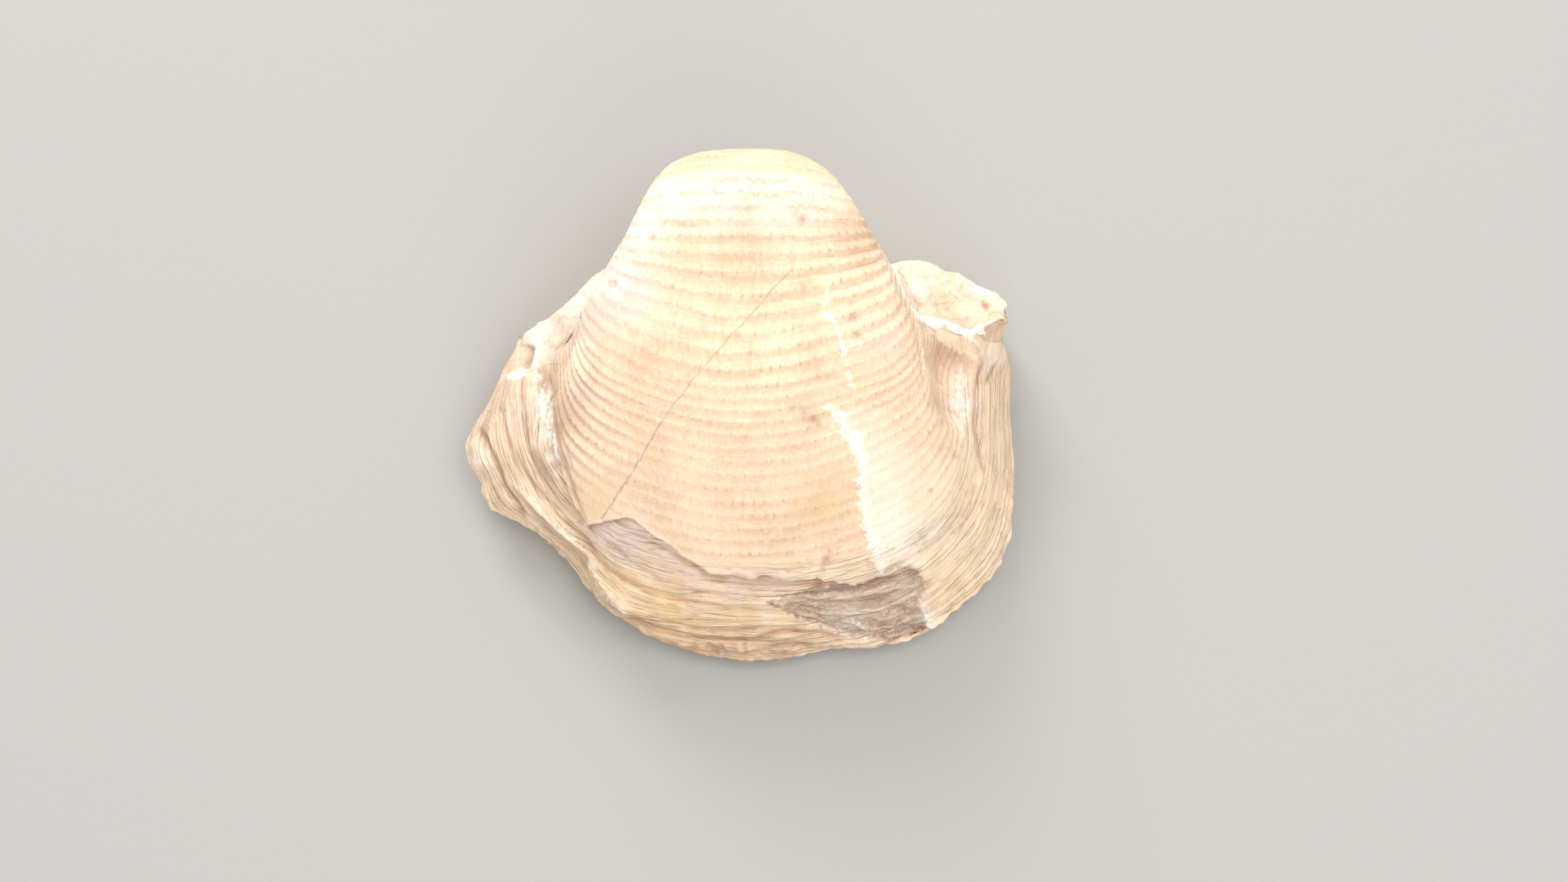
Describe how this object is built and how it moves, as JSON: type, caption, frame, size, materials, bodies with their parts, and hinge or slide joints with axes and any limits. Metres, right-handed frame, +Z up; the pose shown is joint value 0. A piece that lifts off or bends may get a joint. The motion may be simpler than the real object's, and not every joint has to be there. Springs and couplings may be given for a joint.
{
  "type": "echinoconchus semipunctatus fossil",
  "caption": "Fossil brachiopod valve: a strongly humped, finely banded shell on a layered skirt, with a broken ear at one side, lying hump up.",
  "frame": {"origin": "middle of the bounding box, on the surface that the fossil rests on", "axes": "+Z up through the hump, X along the hinge line, -Y towards the front margin"},
  "size_m": [0.0705, 0.0628, 0.0331],
  "materials": {
    "shell_stone": "matt cream and tan calcite shell with fine growth layers, slightly chalky"
  },
  "bodies": {
    "root": {"fossil": "shell_stone"}
  },
  "joints": []
}
